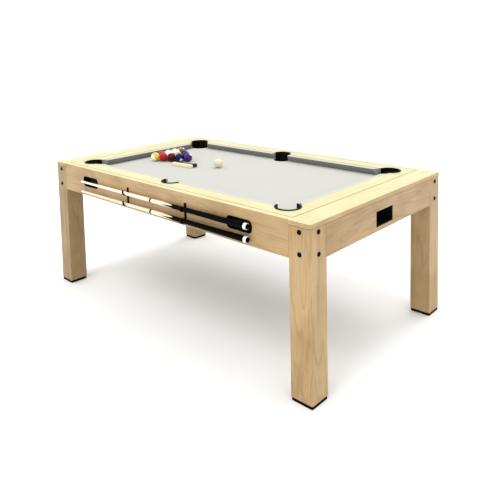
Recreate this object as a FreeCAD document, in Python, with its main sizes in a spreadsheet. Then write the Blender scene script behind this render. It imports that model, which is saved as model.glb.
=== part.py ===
import FreeCAD, Part
import Sketcher
import math
import os
from FreeCAD import Placement, Rotation, Vector

# A pool dining table with ball return. Millimetres, +Z up, floor at Z = 0.
# X runs along the table, the ball return is at the +X end, the cue rack on the -Y side.
# The origin is under the centre of the whole outline, hooks included, so the wooden body
# lies a little to the +Y side of it, by CENTRING.

DRIVING = {
    "table_length": 2020, "table_width": 1190, "wood_top": 787, "foot_height": 16,
    "leg_side": 112, "leg_corner_round": 8, "leg_edge_round": 2,
    "foot_side": 107, "foot_gap": 0.3, "stud_radius": 6,
    "stud_length": 45, "stud_play": 0.05, "socket_side": 70.6, "block_side": 70,
    "bolt_radius": 4, "bolt_hole_radius": 4.2, "bolt_head_radius": 10.5, "bolt_head_height": 3,
    "bolt_length": 45, "bolt_key_radius": 3.5, "upper_bolt_drop": 43, "lower_bolt_drop": 137,
    "apron_height": 165, "apron_thick": 32, "panel_thick": 20, "panel_gap": 3, "panel_overhang": 3,
    "panel_corner": 14, "edge_round": 3, "edge_ease": 1.5, "groove": 4,
    "slot_length": 160, "slot_height": 62, "slot_round": 24, "slot_reach": 614, "slot_drop": 80,
    "cup_depth": 31.5, "cup_wall": 2.5, "cup_play": 0.3,
    "return_width": 156, "return_height": 76, "return_drop": 107, "return_wall": 4,
    "tray_depth": 52, "cap_inner_y": 480, "cap_inner_x": 812, "bed_drop": 40, "cloth_thick": 1,
    "slate_thick": 19, "cushion_depth": 34, "nose_height": 35, "cushion_top": 39.5,
    "cushion_undercut": 19, "nose_round": 2.5,
    "corner_x": 786, "corner_y": 455, "corner_radius": 54, "corner_mouth": 52,
    "middle_y": 470, "middle_radius": 50, "middle_mouth": 88,
    "liner_wall": 4.4, "liner_gap": 0.6, "flange_width": 8, "flange_rise": 4,
    "funnel_radius": 32, "funnel_drop": 35.5, "corner_back_end": 718, "corner_nose_end": 689,
    "middle_back_end": 58, "middle_nose_end": 63, "corner_side_end": 386,
    "corner_side_nose": 357, "bearer_thick": 48, "bearer_floor": 625, "bearer_gap": 0.3,
    "relief_gap": 2.6,
    "ledge_reach": 62, "ledge_height": 40, "cross_thick": 45, "cross_height": 85,
    "cross_inner_x": 220, "cross_outer_x": 600, "notch_width": 86, "notch_top": 710,
    "gully_y": 461.5, "gully_inner": 80, "gully_wall": 3, "gully_side": 28, "gully_start": -845,
    "gully_end": 740, "gully_start_floor": 653, "gully_end_floor": 639,
    "collector_x": 785, "collector_width": 80, "collector_reach": 515,
    "collector_rim": 700, "collector_end_floor": 638, "collector_floor": 635,
    "clip_x": 240.5, "clip_offset": 9.5, "clip_width": 12, "clip_thick": 5, "clip_bottom": 648,
    "clip_top": 739, "hook_radius": 15, "hook_wall": 3, "hook_lip": 14, "hook_low": 656,
    "hook_rise": 60, "cue_play": 0.3, "cue_tip_x": -695, "cue_joint_x": -2, "cue_end_x": 688,
    "tip_radius": 6, "butt_radius": 14.5, "bumper_radius": 12.5, "bumper_length": 9,
    "ball_radius": 28.6, "ball_gap": 0.3, "rack_apex_x": -450, "rack_apex_y": 40,
    "cue_ball_x": -164, "cue_ball_y": 41,
    "brush_x": -369, "brush_y": -71, "brush_turn": 6, "brush_length": 166, "brush_width": 20,
    "brush_back": 18, "bristle_inset": 5, "bristle_length": 28, "bristle_flare": 12,
    "bristle_margin": 2,
}

CORNERS = {"front_left": (-1, -1, 270), "front_right": (1, -1, 0),
           "back_right": (1, 1, 90), "back_left": (-1, 1, 180)}

document = FreeCAD.newDocument("PoolTable")
sheet = document.addObject("Spreadsheet::Sheet", "Dim")
for row, (alias, size) in enumerate(DRIVING.items(), start=1):
    sheet.set(f"A{row}", alias)
    sheet.set(f"B{row}", str(size))
    sheet.setAlias(f"B{row}", alias)
document.recompute()

nodes = []

CENTRING = "(Dim.clip_thick + 2 * Dim.hook_radius + Dim.hook_wall - Dim.panel_overhang) / 2"


def size(alias):
    """A driving dimension, as the sheet holds it."""
    return float(sheet.get(alias))


def place(thing, x="0", y="0", z="0", turn=0):
    """Puts a sub-part at sheet expressions, turned about Z."""
    thing.Placement = Placement(Vector(), Rotation(Vector(0, 0, 1), turn))
    for axis, formula in zip("xyz", (x, f"{y} + {CENTRING}", z)):
        thing.setExpression(f"Placement.Base.{axis}", formula)


def new_body(label, x="0", y="0", z="0", turn=0, keep=True):
    """A PartDesign body, kept as a node unless it is only a pattern for a group."""
    body = document.addObject("PartDesign::Body", label)
    body.Label = label
    place(body, x, y, z, turn)
    if keep:
        nodes.append(body)
    return body


def new_sketch(body, role, x="0", y="0", z="0"):
    """A sketch on one of the body's own origin planes, shifted by sheet expressions."""
    sketch = body.newObject("Sketcher::SketchObject", f"{body.Name}_sketch")
    plane = [item for item in body.Origin.OriginFeatures if item.Role == role][0]
    sketch.AttachmentSupport = [(plane, "")]
    sketch.MapMode = "FlatFace"
    for axis, formula in zip("xyz", (x, y, z)):
        if formula != "0":
            sketch.setExpression(f"AttachmentOffset.Base.{axis}", formula)
    return sketch


def dimension(sketch, kind, *where, value, formula):
    """One driving constraint, tied to a sheet expression."""
    index = sketch.addConstraint(Sketcher.Constraint(kind, *where, value))
    sketch.setExpression(f"Constraints[{index}]", formula)


def evaluate(formula):
    """The number that a sheet expression stands for."""
    return float(sheet.evalExpression(formula))


def rectangle(sketch, width, height):
    """A rectangle centred on the sketch's origin."""
    w = evaluate(width) / 2
    d = evaluate(height) / 2
    corners = [Vector(-w, -d), Vector(w, -d), Vector(w, d), Vector(-w, d)]
    for start, end in zip(corners, corners[1:] + corners[:1]):
        sketch.addGeometry(Part.LineSegment(start, end))
    for line in range(4):
        sketch.addConstraint(Sketcher.Constraint("Coincident", line, 2, (line + 1) % 4, 1))
        sketch.addConstraint(Sketcher.Constraint("Vertical" if line % 2 else "Horizontal", line))
    sketch.addConstraint(Sketcher.Constraint("Symmetric", 0, 1, 2, 1, -1, 1))
    dimension(sketch, "DistanceX", 0, 1, 0, 2, value=2 * w, formula=width)
    dimension(sketch, "DistanceY", 1, 1, 1, 2, value=2 * d, formula=height)


def circle(sketch, radius, x="0", y="0"):
    """A circle at a place given by sheet expressions."""
    centre = Vector(evaluate(x), evaluate(y))
    index = sketch.addGeometry(Part.Circle(centre, Vector(0, 0, 1), evaluate(radius)))
    dimension(sketch, "Radius", index, value=evaluate(radius), formula=radius)
    dimension(sketch, "DistanceX", -1, 1, index, 3, value=centre.x, formula=x)
    dimension(sketch, "DistanceY", -1, 1, index, 3, value=centre.y, formula=y)


def polygon(sketch, points):
    """A closed outline through points given as pairs of sheet expressions."""
    places = [Vector(evaluate(x), evaluate(y)) for x, y in points]
    count = len(places)
    for index in range(count):
        sketch.addGeometry(Part.LineSegment(places[index], places[(index + 1) % count]))
    for index, (x, y) in enumerate(points):
        sketch.addConstraint(Sketcher.Constraint("Coincident", index, 2, (index + 1) % count, 1))
        dimension(sketch, "DistanceX", -1, 1, index, 1, value=places[index].x, formula=x)
        dimension(sketch, "DistanceY", -1, 1, index, 1, value=places[index].y, formula=y)


def pad(body, sketch, length, middle=False, backwards=False):
    """Adds a sketch's outline, grown by a sheet expression."""
    feature = body.newObject("PartDesign::Pad", f"{body.Name}_pad")
    feature.Profile = sketch
    feature.Midplane = middle
    feature.Reversed = backwards
    feature.setExpression("Length", length)
    return feature


def pocket(body, sketch, length="", middle=False, backwards=False):
    """Cuts a sketch's outline, right through when no length is given."""
    document.recompute()
    before = body.Shape.Volume
    feature = body.newObject("PartDesign::Pocket", f"{body.Name}_pocket")
    feature.Profile = sketch
    feature.Midplane = middle
    feature.Reversed = backwards
    if length:
        feature.setExpression("Length", length)
    else:
        feature.Type = "ThroughAll"
    document.recompute()
    if body.Shape.Volume >= before:
        raise RuntimeError(f"{body.Label}: {feature.Name} cuts nothing")
    return feature


def round_edges(body, radius, wanted):
    """Rounds the edges for which wanted(edge) is true, in the body's own frame."""
    document.recompute()
    base = body.Tip
    names = [f"Edge{index}" for index, edge in enumerate(base.Shape.Edges, start=1) if wanted(edge)]
    feature = body.newObject("PartDesign::Fillet", f"{body.Name}_round")
    feature.Base = (base, names)
    feature.setExpression("Radius", radius)


def upright(edge):
    """True for a straight edge along Z."""
    first, last = edge.Vertexes[0].Point, edge.Vertexes[-1].Point
    return abs(first.x - last.x) + abs(first.y - last.y) < 0.01 < abs(first.z - last.z)


def level_at(height):
    """A test for edges that lie wholly at one height."""
    def test(edge):
        box = edge.BoundBox
        return abs(box.ZMin - height) < 0.01 and abs(box.ZMax - height) < 0.01
    return test


def group(label, shapes):
    """One node of separate solids, copied from patterns."""
    node = document.addObject("Part::Feature", label)
    node.Label = label
    node.Shape = Part.makeCompound(shapes)
    node.Placement = Placement(Vector(0, evaluate(CENTRING), 0), Rotation())
    nodes.append(node)


def copies(pattern, placements):
    """The pattern's shape at each placement, in the pattern's own frame."""
    document.recompute()
    solid = pattern.Shape.Solids[0].copy()
    solid.transformShape(pattern.Placement.inverse().toMatrix())
    moved = []
    for placement in placements:
        copy = solid.copy()
        copy.transformShape(placement.toMatrix())
        moved.append(copy)
    return moved


def at(x, y, z, turn=0):
    """A placement turned about Z."""
    return Placement(Vector(x, y, z), Rotation(Vector(0, 0, 1), turn))


# ---------------------------------------------------------------- legs and feet

LEG_HEIGHT = "Dim.wood_top - Dim.panel_thick - Dim.panel_gap - Dim.foot_height"
APRON_FLOOR = "Dim.wood_top - Dim.apron_height"
LEG_X = "(Dim.table_length / 2 - Dim.leg_side / 2)"
LEG_Y = "(Dim.table_width / 2 - Dim.leg_side / 2)"


def outer_corner(edge):
    """True for an edge in a leg's outer corner, which is its own +X -Y corner."""
    return edge.Vertexes[0].Point.x > 0 > edge.Vertexes[0].Point.y


def make_leg(name, side_x, side_y, turn):
    """A post with a socket for the corner block, notched where the bearers enter."""
    leg = new_body(f"leg_{name}", f"{side_x} * {LEG_X}", f"{side_y} * {LEG_Y}",
                   "Dim.foot_height", turn)
    outline = new_sketch(leg, "XY_Plane")
    rectangle(outline, "Dim.leg_side", "Dim.leg_side")
    pad(leg, outline, LEG_HEIGHT)
    round_edges(leg, "Dim.leg_corner_round", lambda edge: upright(edge) and outer_corner(edge))
    round_edges(leg, "Dim.leg_edge_round", lambda edge: upright(edge) and not outer_corner(edge))
    socket_depth = "Dim.apron_height - Dim.panel_thick - Dim.panel_gap"
    socket = new_sketch(leg, "XY_Plane", z=LEG_HEIGHT)
    rectangle(socket, "Dim.socket_side", "Dim.socket_side")
    pocket(leg, socket, socket_depth)
    notch_width = "Dim.bearer_thick + 2 * Dim.bearer_gap"
    side_notch = new_sketch(leg, "XY_Plane", x="-Dim.leg_side / 4", z=LEG_HEIGHT)
    rectangle(side_notch, "Dim.leg_side / 2", notch_width)
    pocket(leg, side_notch, socket_depth)
    end_notch = new_sketch(leg, "XY_Plane", y="Dim.leg_side / 4", z=LEG_HEIGHT)
    rectangle(end_notch, notch_width, "Dim.leg_side / 2")
    pocket(leg, end_notch, socket_depth)
    for role in ("XZ_Plane", "YZ_Plane"):
        bolt_holes = new_sketch(leg, role)
        for drop in ("upper_bolt_drop", "lower_bolt_drop"):
            circle(bolt_holes, "Dim.bolt_hole_radius",
                   y=f"Dim.wood_top - Dim.foot_height - Dim.{drop}")
        pocket(leg, bolt_holes, backwards=True)
    stud_hole = new_sketch(leg, "XY_Plane")
    circle(stud_hole, "Dim.stud_radius + Dim.stud_play")
    pocket(leg, stud_hole, "Dim.stud_length * 1.2", backwards=True)


def make_foot(name, side_x, side_y):
    """A square levelling pad on a stud that runs in the leg."""
    foot = new_body(f"foot_{name}", f"{side_x} * {LEG_X}", f"{side_y} * {LEG_Y}")
    outline = new_sketch(foot, "XY_Plane")
    rectangle(outline, "Dim.foot_side", "Dim.foot_side")
    pad(foot, outline, "Dim.foot_height - Dim.foot_gap")
    round_edges(foot, "Dim.edge_ease", lambda edge: upright(edge) or level_at(0)(edge))
    stud = new_sketch(foot, "XY_Plane", z="Dim.foot_height - Dim.foot_gap")
    circle(stud, "Dim.stud_radius")
    pad(foot, stud, "Dim.stud_length")


def make_bolts():
    """Sixteen socket-head bolts, two through each outer face of each leg."""
    bolt = new_body("leg_bolt", keep=False)
    shank = new_sketch(bolt, "XY_Plane")
    circle(shank, "Dim.bolt_radius")
    pad(bolt, shank, "Dim.bolt_length", backwards=True)
    head = new_sketch(bolt, "XY_Plane")
    circle(head, "Dim.bolt_head_radius")
    pad(bolt, head, "Dim.bolt_head_height")
    round_edges(bolt, "Dim.edge_ease", level_at(size("bolt_head_height")))
    key = new_sketch(bolt, "XY_Plane", z="Dim.bolt_head_height")
    corners = [(math.cos(math.radians(60 * k)), math.sin(math.radians(60 * k))) for k in range(6)]
    polygon(key, [(f"{c:.6f} * Dim.bolt_key_radius", f"{s:.6f} * Dim.bolt_key_radius")
                  for c, s in corners])
    pocket(bolt, key, "Dim.bolt_head_height - 0.5")
    placements = []
    reach_x, reach_y = size("table_length") / 2, size("table_width") / 2
    inset = size("leg_side") / 2
    for side_x, side_y, _ in CORNERS.values():
        for drop in (size("upper_bolt_drop"), size("lower_bolt_drop")):
            height = size("wood_top") - drop
            outward_y = Rotation(Vector(0, 0, 1), Vector(0, side_y, 0))
            outward_x = Rotation(Vector(0, 0, 1), Vector(side_x, 0, 0))
            placements.append(Placement(
                Vector(side_x * (reach_x - inset), side_y * reach_y, height), outward_y))
            placements.append(Placement(
                Vector(side_x * reach_x, side_y * (reach_y - inset), height), outward_x))
    group("leg_bolts", copies(bolt, placements))


# ---------------------------------------------------------------- cabinet

LONG_APRON = "Dim.table_length - 2 * Dim.leg_side"
END_APRON = "Dim.table_width - 2 * Dim.leg_side"
BLOCK_Z = "Dim.bearer_floor"


def rounded_slot(sketch, shrink="0", radius_shrink="0"):
    """A rounded rectangle centred on the sketch's origin: four lines and four arcs."""
    width, height = f"Dim.slot_length - 2 * {shrink}", f"Dim.slot_height - 2 * {shrink}"
    radius = f"Dim.slot_round - {radius_shrink}"
    w, d, r = evaluate(width) / 2, evaluate(height) / 2, evaluate(radius)
    points = [Vector(-w + r, -d), Vector(w - r, -d), Vector(w, -d + r), Vector(w, d - r),
              Vector(w - r, d), Vector(-w + r, d), Vector(-w, d - r), Vector(-w, -d + r)]
    centres = [Vector(w - r, -d + r), Vector(w - r, d - r),
               Vector(-w + r, d - r), Vector(-w + r, -d + r)]
    for quarter in range(4):
        sketch.addGeometry(Part.LineSegment(points[2 * quarter], points[2 * quarter + 1]))
        start = math.radians(90 * quarter - 90)
        rim = Part.Circle(centres[quarter], Vector(0, 0, 1), r)
        sketch.addGeometry(Part.ArcOfCircle(rim, start, start + math.pi / 2))
    for quarter in range(4):
        line, arc, following = 2 * quarter, 2 * quarter + 1, (2 * quarter + 2) % 8
        sketch.addConstraint(Sketcher.Constraint("Tangent", line, 2, arc, 1))
        sketch.addConstraint(Sketcher.Constraint("Tangent", arc, 2, following, 1))
        sketch.addConstraint(
            Sketcher.Constraint("Vertical" if quarter % 2 else "Horizontal", line))
        if quarter:
            sketch.addConstraint(Sketcher.Constraint("Equal", 1, arc))
    dimension(sketch, "Radius", 1, value=r, formula=radius)
    sketch.addConstraint(Sketcher.Constraint("Symmetric", 0, 1, 4, 1, -1, 1))
    dimension(sketch, "DistanceX", 6, 1, 2, 1, value=2 * w, formula=width)
    dimension(sketch, "DistanceY", 0, 1, 4, 1, value=2 * d, formula=height)


def make_long_apron(name, side_y, turn):
    """A board between the legs, flush with the top, with two hand slots."""
    apron = new_body(f"{name}_apron", y=f"{side_y} * (Dim.table_width - Dim.apron_thick) / 2",
                     z=f"{APRON_FLOOR} + Dim.apron_height / 2", turn=turn)
    outline = new_sketch(apron, "XZ_Plane")
    rectangle(outline, LONG_APRON, "Dim.apron_height")
    pad(apron, outline, "Dim.apron_thick", middle=True)
    for reach in ("-Dim.slot_reach", "Dim.slot_reach"):
        slot = new_sketch(apron, "XZ_Plane", x=reach, y="Dim.apron_height / 2 - Dim.slot_drop")
        rounded_slot(slot)
        pocket(apron, slot, middle=True)


def make_end_apron(name, side_x, turn, has_return):
    """A board between the legs, a shadow gap below the end panel."""
    apron = new_body(f"{name}_apron", x=f"{side_x} * (Dim.table_length - Dim.apron_thick) / 2",
                     z=APRON_FLOOR, turn=turn)
    height = "(Dim.apron_height - Dim.panel_thick - Dim.panel_gap)"
    outline = new_sketch(apron, "YZ_Plane", y=f"{height} / 2")
    rectangle(outline, END_APRON, height)
    pad(apron, outline, "Dim.apron_thick", middle=True)
    if has_return:
        opening = new_sketch(apron, "YZ_Plane", y="Dim.apron_height - Dim.return_drop")
        rectangle(opening, "Dim.return_width", "Dim.return_height")
        pocket(apron, opening, middle=True)


def make_end_panel(name, side_x, turn):
    """The slab over the legs and the end apron, with rounded outer corners."""
    width = "(Dim.leg_side + Dim.panel_overhang)"
    panel = new_body(f"{name}_end_panel",
                     x=f"{side_x} * (Dim.table_length / 2 + Dim.panel_overhang - {width} / 2)",
                     z="Dim.wood_top - Dim.panel_thick", turn=turn)
    outline = new_sketch(panel, "XY_Plane")
    rectangle(outline, width, "Dim.table_width + 2 * Dim.panel_overhang")
    pad(panel, outline, "Dim.panel_thick")
    round_edges(panel, "Dim.panel_corner",
                lambda edge: upright(edge) and edge.Vertexes[0].Point.x > 0)
    inner = -evaluate(width) / 2
    round_edges(panel, "Dim.edge_round",
                lambda edge: level_at(size("panel_thick"))(edge) and edge.BoundBox.XMax > inner + 1)


def make_side_bearers():
    """Two rails behind the long aprons, each relieved round its middle pocket."""
    length = "Dim.table_length - Dim.leg_side - Dim.block_side"
    height = "(Dim.wood_top - Dim.bed_drop - Dim.cloth_thick - Dim.slate_thick - Dim.bearer_floor)"
    bearer = new_body("side_bearer", keep=False)
    outline = new_sketch(bearer, "XZ_Plane", y=f"{height} / 2")
    rectangle(outline, length, height)
    pad(bearer, outline, "Dim.bearer_thick", middle=True)
    relief = new_sketch(bearer, "XY_Plane")
    circle(relief, "Dim.middle_radius + Dim.liner_wall + Dim.relief_gap",
           y="Dim.table_width / 2 - Dim.leg_side / 2 - Dim.middle_y")
    pocket(bearer, relief, middle=True)
    centre = size("table_width") / 2 - size("leg_side") / 2
    floor = size("bearer_floor")
    group("side_bearers", copies(bearer, [at(0, -centre, floor), at(0, centre, floor, 180)]))


def make_end_bearers():
    """Two rails behind the end aprons, with a ledge under the slate and the return cut out."""
    height = "(Dim.wood_top - Dim.panel_thick - Dim.bearer_floor)"
    bearer = new_body("end_bearer", keep=False)
    outline = new_sketch(bearer, "YZ_Plane", y=f"{height} / 2")
    rectangle(outline, "Dim.table_width - Dim.leg_side - Dim.block_side", height)
    pad(bearer, outline, "Dim.bearer_thick", middle=True)
    slate_floor = "(Dim.wood_top - Dim.bed_drop - Dim.cloth_thick - Dim.slate_thick)"
    ledge = new_sketch(bearer, "YZ_Plane", z="-Dim.bearer_thick / 2",
                       y=f"{slate_floor} - Dim.ledge_height / 2 - Dim.bearer_floor")
    rectangle(ledge, f"{END_APRON} - 6", "Dim.ledge_height")
    pad(bearer, ledge, "Dim.ledge_reach", backwards=True)
    opening = new_sketch(bearer, "YZ_Plane",
                         y="Dim.wood_top - Dim.return_drop - Dim.bearer_floor - 10")
    rectangle(opening, "Dim.return_width + 8", "Dim.return_height + 46")
    pocket(bearer, opening, middle=True)
    centre = size("table_length") / 2 - size("leg_side") / 2
    floor = size("bearer_floor")
    group("end_bearers", copies(bearer, [at(centre, 0, floor), at(-centre, 0, floor, 180)]))


def make_cross_bearers():
    """Four joists under the slate, notched over the ball gullies."""
    slate_floor = size("wood_top") - size("bed_drop") - size("cloth_thick") - size("slate_thick")
    joist_floor = slate_floor - size("cross_height")
    joist = new_body("cross_bearer", keep=False)
    outline = new_sketch(joist, "YZ_Plane", y="Dim.cross_height / 2")
    span = "Dim.table_width - Dim.leg_side - Dim.bearer_thick"
    rectangle(outline, span, "Dim.cross_height")
    pad(joist, outline, "Dim.cross_thick", middle=True)
    depth = f"(Dim.notch_top - {joist_floor})"
    for side in ("-Dim.gully_y", "Dim.gully_y"):
        notch = new_sketch(joist, "YZ_Plane", x=side, y=f"{depth} / 2")
        rectangle(notch, "Dim.notch_width", depth)
        pocket(joist, notch, middle=True)
    reaches = [side * size(name) for side in (-1, 1) for name in ("cross_inner_x", "cross_outer_x")]
    group("cross_bearers", copies(joist, [at(reach, 0, joist_floor) for reach in reaches]))


def make_corner_blocks():
    """Four blocks inside the leg sockets, drilled for the leg bolts."""
    block = new_body("corner_block", keep=False)
    outline = new_sketch(block, "XY_Plane")
    rectangle(outline, "Dim.block_side", "Dim.block_side")
    pad(block, outline, "Dim.wood_top - Dim.panel_thick - Dim.bearer_floor")
    for role in ("XZ_Plane", "YZ_Plane"):
        holes = new_sketch(block, role)
        for drop in ("upper_bolt_drop", "lower_bolt_drop"):
            circle(holes, "Dim.bolt_radius", y=f"Dim.wood_top - Dim.{drop} - Dim.bearer_floor")
        pocket(block, holes, backwards=True)
    reach_x = size("table_length") / 2 - size("leg_side") / 2
    reach_y = size("table_width") / 2 - size("leg_side") / 2
    group("corner_blocks", copies(block, [
        at(side_x * reach_x, side_y * reach_y, size("bearer_floor"), turn)
        for side_x, side_y, turn in CORNERS.values()]))


def make_slot_cups():
    """Four shallow moulded cups that line the hand slots."""
    cup = new_body("hand_slot_cup", keep=False)
    outer = new_sketch(cup, "XZ_Plane")
    rounded_slot(outer, "Dim.cup_play", "Dim.cup_play")
    pad(cup, outer, "Dim.cup_depth", backwards=True)
    inner = new_sketch(cup, "XZ_Plane")
    rounded_slot(inner, "(Dim.cup_play + Dim.cup_wall)", "(Dim.cup_play + Dim.cup_wall)")
    pocket(cup, inner, "Dim.cup_depth - Dim.cup_wall")
    height = size("wood_top") - size("slot_drop")
    face = size("table_width") / 2 - 0.5
    placements = []
    for reach in (-size("slot_reach"), size("slot_reach")):
        placements += [at(reach, -face, height), at(reach, face, height, 180)]
    group("hand_slot_cups", copies(cup, placements))


# ---------------------------------------------------------------- bed and rails

def cut_pockets(body, corner, middle, centre_x="0", centre_y="0"):
    """Cuts the six pocket rounds that reach a body whose own origin is at the given place."""
    box = body.Shape.BoundBox
    round_holes = []
    for side_x in (-1, 1):
        for side_y in (-1, 1):
            round_holes.append((f"{side_x} * Dim.corner_x", f"{side_y} * Dim.corner_y", corner))
    for side_y in (-1, 1):
        round_holes.append(("0", f"{side_y} * Dim.middle_y", middle))
    for x, y, radius in round_holes:
        px, py, reach = evaluate(x), evaluate(y), evaluate(radius)
        clear = (px + reach < box.XMin or px - reach > box.XMax
                 or py + reach < box.YMin or py - reach > box.YMax)
        if not clear:
            hole = new_sketch(body, "XY_Plane")
            circle(hole, radius, f"{x} - ({centre_x})", f"{y} - ({centre_y})")
            pocket(body, hole, middle=True)


CORNER_CUT = "Dim.corner_radius + Dim.liner_wall + Dim.liner_gap"
MIDDLE_CUT = "Dim.middle_radius + Dim.liner_wall + Dim.liner_gap"
CAP_END = "(Dim.table_length / 2 - Dim.leg_side - Dim.groove)"
CAP_SIDE = "(Dim.table_width / 2 - Dim.apron_thick - Dim.groove)"
BED_TOP = "Dim.wood_top - Dim.bed_drop"


def make_bed():
    """The slate and the cloth stretched over it."""
    layers = (("slate_bed", "Dim.slate_thick", f"{BED_TOP} - Dim.cloth_thick - Dim.slate_thick"),
              ("bed_cloth", "Dim.cloth_thick", f"{BED_TOP} - Dim.cloth_thick"))
    for label, thickness, floor in layers:
        layer = new_body(label, z=floor)
        outline = new_sketch(layer, "XY_Plane")
        rectangle(outline, f"2 * {CAP_END} - 4", f"2 * {CAP_SIDE} - 4")
        pad(layer, outline, thickness)
        document.recompute()
        cut_pockets(layer, CORNER_CUT, MIDDLE_CUT)


def make_long_cap(name, side_y):
    """A rail cap along the table, cut round three pockets."""
    centre = f"{side_y} * ({CAP_SIDE} + Dim.cap_inner_y) / 2"
    cap = new_body(f"{name}_rail_cap", y=centre, z=BED_TOP)
    outline = new_sketch(cap, "XY_Plane")
    rectangle(outline, f"2 * {CAP_END}", f"{CAP_SIDE} - Dim.cap_inner_y")
    pad(cap, outline, "Dim.bed_drop")
    document.recompute()
    cut_pockets(cap, CORNER_CUT, MIDDLE_CUT, centre_y=centre)


def make_end_cap(name, side_x):
    """A rail cap across the table, cut round two pockets."""
    centre = f"{side_x} * ({CAP_END} + Dim.cap_inner_x) / 2"
    cap = new_body(f"{name}_rail_cap", x=centre, z=BED_TOP)
    outline = new_sketch(cap, "XY_Plane")
    rectangle(outline, f"{CAP_END} - Dim.cap_inner_x", "2 * Dim.cap_inner_y")
    pad(cap, outline, "Dim.bed_drop")
    document.recompute()
    cut_pockets(cap, CORNER_CUT, MIDDLE_CUT, centre_x=centre)


def make_cushion(label, ends, x="0", y="0", turn=0):
    """A rubber rail. Its back is on local Y = 0 and its nose points to +Y.

    ends gives, for the left and the right end, where the back and the nose stop.
    """
    (left_back, left_nose), (right_back, right_nose) = ends
    cushion = new_body(label, x, y, f"{BED_TOP} + 0.5", turn)
    section = new_sketch(cushion, "YZ_Plane", z=left_back)
    polygon(section, [("0", "0"), ("Dim.cushion_depth - Dim.cushion_undercut", "0"),
                      ("Dim.cushion_depth", "Dim.nose_height - Dim.nose_round"),
                      ("Dim.cushion_depth", "Dim.nose_height + Dim.nose_round / 2"),
                      ("0", "Dim.cushion_top - 1")])
    pad(cushion, section, f"({right_back}) - ({left_back})")
    for back, nose in ((left_back, left_nose), (right_back, right_nose)):
        facing = new_sketch(cushion, "XY_Plane")
        polygon(facing, [(back, "-1"), (back, "0"), (nose, "Dim.cushion_depth"),
                         (nose, "Dim.cushion_depth + 1"), (back, "Dim.cushion_depth + 1")])
        pocket(cushion, facing, backwards=True)


def make_cushions():
    """Four long cushions and two end cushions."""
    for side_x, end_name in ((-1, "left"), (1, "right")):
        for side_y, side_name, turn in ((-1, "front", 0), (1, "back", 180)):
            ends = [("Dim.middle_back_end", "Dim.middle_nose_end"),
                    ("Dim.corner_back_end", "Dim.corner_nose_end")]
            if side_x * side_y > 0:
                ends = [(f"-{back}", f"-{nose}") for back, nose in reversed(ends)]
            make_cushion(f"cushion_{side_name}_{end_name}", ends,
                         y=f"{side_y} * Dim.cap_inner_y", turn=turn)
        ends = [("-Dim.corner_side_end", "-Dim.corner_side_nose"),
                ("Dim.corner_side_end", "Dim.corner_side_nose")]
        make_cushion(f"cushion_{end_name}_end", ends, x=f"{side_x} * Dim.cap_inner_x",
                     turn=90 * side_x)


def make_liner(name, radius, mouth):
    """A moulded pocket: rim flange, wall, and a funnel over the gully. Its mouth faces +X."""
    liner = new_body(f"{name}_pocket_liner", keep=False)
    profile = new_sketch(liner, "XZ_Plane")
    inside, wall = radius, f"{radius} + Dim.liner_wall"
    flange = f"{radius} + Dim.flange_width"
    depth = "(Dim.bed_drop + Dim.cloth_thick + Dim.slate_thick)"
    polygon(profile, [
        (inside, "Dim.flange_rise"), (flange, "Dim.flange_rise"), (flange, "0"), (wall, "0"),
        (wall, f"-{depth} - 3"), ("Dim.funnel_radius + 4", f"-{depth} - 15.5"),
        ("Dim.funnel_radius", f"-{depth} - 15.5"), ("Dim.funnel_radius", f"-{depth} - 13"),
        (inside, f"-{depth} - 0.5")])
    turned = liner.newObject("PartDesign::Revolution", f"{name}_liner_turned")
    turned.Profile = profile
    turned.ReferenceAxis = (profile, ["V_Axis"])
    turned.Angle = 360
    gap = new_sketch(liner, "XY_Plane", z="5")
    spread = f"{math.tan(math.radians(mouth)):.6f}"
    if mouth < 80:
        polygon(gap, [("0", "0"), ("90", f"-90 * {spread}"), ("90", f"90 * {spread}")])
    else:
        polygon(gap, [("0", "-90"), ("90", "-90"), ("90", "90"), ("0", "90")])
    pocket(liner, gap, "Dim.bed_drop + 4.8")
    return liner


def make_liners():
    """Four corner pockets and two middle pockets."""
    top = size("wood_top")
    corner = make_liner("corner", "Dim.corner_radius", size("corner_mouth"))
    inward = {(-1, -1): 45, (1, -1): 135, (1, 1): 225, (-1, 1): 315}
    group("corner_pocket_liners", copies(corner, [
        at(side_x * size("corner_x"), side_y * size("corner_y"), top, turn)
        for (side_x, side_y), turn in inward.items()]))
    middle = make_liner("middle", "Dim.middle_radius", size("middle_mouth"))
    group("middle_pocket_liners", copies(middle, [
        at(0, -size("middle_y"), top, 90), at(0, size("middle_y"), top, -90)]))


# ---------------------------------------------------------------- ball return

def make_gullies():
    """Two sloping channels under the pockets of each side."""
    gully = new_body("side_gully", keep=False)
    section = new_sketch(gully, "YZ_Plane")
    half, wall = "Dim.gully_inner / 2", "Dim.gully_wall"
    polygon(section, [
        (f"-{half} - {wall}", f"-{wall}"), (f"{half} + {wall}", f"-{wall}"),
        (f"{half} + {wall}", "Dim.gully_side"), (half, "Dim.gully_side"), (half, "0"),
        (f"-{half}", "0"), (f"-{half}", "Dim.gully_side"), (f"-{half} - {wall}", "Dim.gully_side")])
    pad(gully, section, "Dim.gully_end - Dim.gully_start")
    fall = size("gully_start_floor") - size("gully_end_floor")
    slope = math.degrees(math.atan2(fall, size("gully_end") - size("gully_start")))
    tilt = Rotation(Vector(0, 1, 0), slope)
    group("side_gullies", copies(gully, [
        Placement(Vector(size("gully_start"), side * size("gully_y"), size("gully_start_floor")),
                  tilt) for side in (-1, 1)]))


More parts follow.
